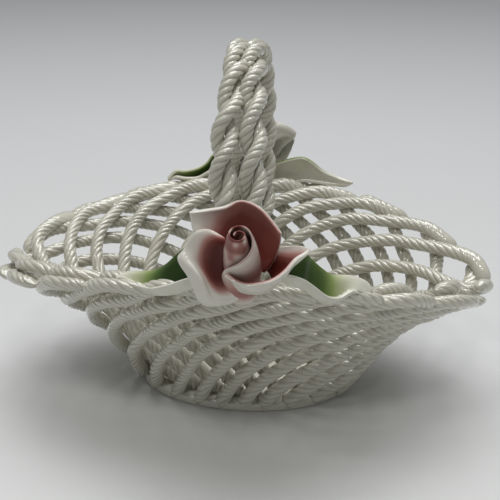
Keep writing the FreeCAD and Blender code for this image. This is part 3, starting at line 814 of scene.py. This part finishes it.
def make_leaves():
    """Leaves, each with a narrower row of places in front of its points for its root."""
    for name, points, root, second_side, depth in LEAVES:
        rows = places_of(points)
        keel = rows[0][2]
        rows.insert(0, [root + (place - keel) * LEAF_ROOT_WIDTH for place in rows[0]])
        green = [[min(along * across * depth, 1) for across in GREEN_ACROSS]
                 for along in GREEN_ALONG[:len(rows)]]
        leaf = shaped_sheet(name + "_glazed", rows, LEAF_SQUARES, "green", green, second_side, LEAF_BACK)
        seat(leaf, name, leaf_glaze)


# Glazes

class Link:
    """A socket with arithmetic."""

    def __init__(self, nodes, socket):
        self.nodes, self.socket = nodes, socket

    def _math(self, operation, first, second):
        return self.nodes.node("ShaderNodeMath", {"operation": operation}, {0: first, 1: second})

    def __add__(self, other):
        return self._math("ADD", self, other)

    def __sub__(self, other):
        return self._math("SUBTRACT", self, other)

    def __rsub__(self, other):
        return self._math("SUBTRACT", other, self)

    def __mul__(self, other):
        return self._math("MULTIPLY", self, other)

    __radd__, __rmul__ = __add__, __mul__


class Nodes:
    """A node tree, with one method for every node."""

    def __init__(self, tree):
        self.tree = tree

    def node(self, kind, settings=None, sockets=None, output=0):
        made = self.tree.nodes.new(kind)
        for key, value in (settings or {}).items():
            if key == "stops":
                ramp = made.color_ramp.elements
                while len(ramp) < len(value):
                    ramp.new(0.5)
                for stop, (position, colour) in zip(ramp, value):
                    stop.position, stop.color = position, colour
            else:
                setattr(made, key, value)
        for key, value in (sockets or {}).items():
            if isinstance(value, Link):
                self.tree.links.new(value.socket, made.inputs[key])
            else:
                made.inputs[key].default_value = value
        return Link(self, made.outputs[output] if made.outputs else None)


class Glaze(Nodes):
    """A material: its shader with plain values, and the nodes that glazes share."""

    def __init__(self, name, **sockets):
        self.material = bpy.data.materials.new(name)
        self.material.use_nodes = True
        super().__init__(self.material.node_tree)
        self.shader = self.tree.nodes["Principled BSDF"]
        for socket, value in sockets.items():
            self.shader.inputs[socket.replace("_", " ")].default_value = value

    def feed(self, socket, link):
        self.tree.links.new(link.socket, self.shader.inputs[socket])

    def place(self):
        return self.node("ShaderNodeTexCoord", output="Object")

    def kept(self, name):
        """Number that mark kept at the corners."""
        return self.node("ShaderNodeAttribute", {"attribute_name": name}, output="Fac")

    def noise(self, scale, detail=2.0, rough=0.5):
        return self.node("ShaderNodeTexNoise", None,
                         {"Vector": self.place(), "Scale": scale, "Detail": detail, "Roughness": rough})

    def blend(self, factor, first, second):
        return self.node("ShaderNodeMix", {"data_type": "RGBA"}, {0: factor, 6: first, 7: second}, 2)

    def ramp(self, link, *stops):
        return self.node("ShaderNodeValToRGB", {"stops": stops}, {0: link})

    def ripple(self, scale, strength):
        """Gentle waves of the fired surface."""
        bump = self.node("ShaderNodeBump", None,
                         {"Strength": strength, "Distance": RIPPLE_HEIGHT, "Height": self.noise(scale)})
        self.feed("Normal", bump)


def make_body_glaze():
    """Off-white glaze, darker in the grooves, partly as glaze pooling there and partly as painted shade,
    with fine specks.
    """
    glaze = Glaze("body_glaze", IOR=1.48, Coat_Weight=1.0, Coat_Roughness=0.03)
    groove = glaze.kept("groove")
    cloud = glaze.noise(scale=38.0, detail=3.0)
    white = glaze.blend(cloud, (0.56, 0.54, 0.447, 1), (0.66, 0.642, 0.55, 1))
    # Darker in the grooves: glaze pooling there, and painted shade between the lobes.
    pooled_and_shaded = glaze.blend(groove * groove * 0.6, white, (0.30, 0.27, 0.20, 1))
    dots = glaze.ramp(glaze.noise(scale=420.0, detail=1.0), (0.0, (0, 0, 0, 1)),
                      (0.72, (0, 0, 0, 1)), (0.80, (1, 1, 1, 1)))
    glaze.feed("Base Color", glaze.blend(dots * 0.25, pooled_and_shaded, (0.40, 0.35, 0.27, 1)))
    glaze.feed("Roughness", cloud * 0.06 + groove * 0.10 + 0.06)
    glaze.ripple(scale=150.0, strength=0.6)
    return glaze.material


def painted_glaze(name, ior, word, stroke, unevenness, coat_loss, stops):
    """Brushed colour under a thin coat, from bare glaze to full strength."""
    glaze = Glaze(name, IOR=ior, Coat_Roughness=0.04)
    paint = glaze.kept(word)
    brush = glaze.noise(scale=stroke, detail=3.0, rough=0.6)
    strength = paint + (brush - 0.5) * unevenness * (1 - paint)
    glaze.feed("Base Color", glaze.ramp(strength, *stops))
    glaze.feed("Roughness", brush * 0.12 + 0.14)
    glaze.feed("Coat Weight", 0.6 - paint * coat_loss)
    glaze.ripple(scale=120.0, strength=0.5)
    return glaze.material


def make_rose_glaze():
    pinks = [(0.0, (0.72, 0.70, 0.62, 1)), (0.18, (0.62, 0.53, 0.47, 1)), (0.45, (0.40, 0.20, 0.17, 1)),
             (0.75, (0.17, 0.046, 0.037, 1)), (1.0, (0.08, 0.014, 0.010, 1))]
    return painted_glaze("rose_glaze", ior=1.15, word="blush", stroke=170.0, unevenness=0.22,
                         coat_loss=0.5, stops=pinks)


def make_leaf_glaze():
    greens = [(0.0, (0.72, 0.70, 0.61, 1)), (0.25, (0.52, 0.54, 0.35, 1)), (0.5, (0.25, 0.32, 0.11, 1)),
              (0.75, (0.085, 0.14, 0.035, 1)), (1.0, (0.025, 0.05, 0.012, 1))]
    return painted_glaze("leaf_glaze", ior=1.2, word="green", stroke=140.0, unevenness=0.25,
                         coat_loss=0.35, stops=greens)


def make_plate():
    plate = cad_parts["base_plate"]
    plate.data.materials.clear()
    plate.data.materials.append(body_glaze)


# Table, light and camera

def make_table():
    """Pale table, its brightness falling off towards the back as painted light."""
    clear_selection()
    bpy.ops.mesh.primitive_plane_add(size=TABLE_SIZE)
    table = bpy.context.object
    table.name = "table"
    paper = Glaze("table_paper", Roughness=0.6)
    depth = paper.node("ShaderNodeSeparateXYZ", None, {0: paper.place()}, "Y")
    # Painted light: brightest near the basket and falling off towards the back.
    shade = paper.ramp(depth * 0.5 + 0.25, (0.0, (0.68, 0.68, 0.668, 1)), (0.2, (0.73, 0.73, 0.715, 1)),
                       (0.45, (0.625, 0.63, 0.63, 1)), (0.75, (0.415, 0.42, 0.42, 1)),
                       (1.0, (0.31, 0.315, 0.315, 1)))
    clouds = paper.noise(scale=2.5)
    paper.feed("Base Color", paper.blend(clouds * 0.3, shade, (0.50, 0.50, 0.50, 1)))
    table.data.materials.append(paper.material)


def make_lamp(name, place, aim, size, power, colour):
    lamp = bpy.data.lights.new(name, "AREA")
    lamp.shape, lamp.size, lamp.size_y = "RECTANGLE", size[0], size[1]
    lamp.energy, lamp.color = power, colour
    holder = bpy.data.objects.new(name, lamp)
    bpy.context.scene.collection.objects.link(holder)
    holder.location = place
    holder.rotation_euler = (Vector(aim) - Vector(place)).to_track_quat("-Z", "Y").to_euler()


def make_room():
    """Soft light from all round, and a plain backdrop that only the camera sees."""
    world = bpy.context.scene.world or bpy.data.worlds.new("World")
    bpy.context.scene.world = world
    world.use_nodes = True
    world.node_tree.nodes.clear()
    room = Nodes(world.node_tree)
    light = room.node("ShaderNodeBackground", None, {"Color": ROOM_COLOUR, "Strength": ROOM_STRENGTH})
    backdrop = room.node("ShaderNodeBackground", None, {"Color": BACKDROP_COLOUR, "Strength": 1.0})
    seen = room.node("ShaderNodeLightPath", output="Is Camera Ray")
    choice = room.node("ShaderNodeMixShader", None, {0: seen, 1: light, 2: backdrop})
    room.node("ShaderNodeOutputWorld", None, {"Surface": choice})


def make_camera():
    eye, ahead = camera_axes()[:2]
    lens = bpy.data.cameras.new("camera")
    lens.sensor_width, lens.lens = SENSOR_WIDTH, FOCAL_PIXELS / PICTURE_PIXELS * SENSOR_WIDTH
    lens.clip_start = 0.01
    camera = bpy.data.objects.new("camera", lens)
    bpy.context.scene.collection.objects.link(camera)
    camera.location = Vector(eye) * MM
    camera.rotation_euler = Vector(ahead).to_track_quat("-Z", "Y").to_euler()
    bpy.context.scene.camera = camera


body_glaze = make_body_glaze()
rose_glaze = make_rose_glaze()
leaf_glaze = make_leaf_glaze()
make_camera()
for lamp in LAMPS:
    make_lamp(*lamp)
make_room()
make_table()
make_plate()
make_wall()
make_handle()
make_roses()
make_leaves()
bpy.context.scene.view_settings.view_transform = "Standard"
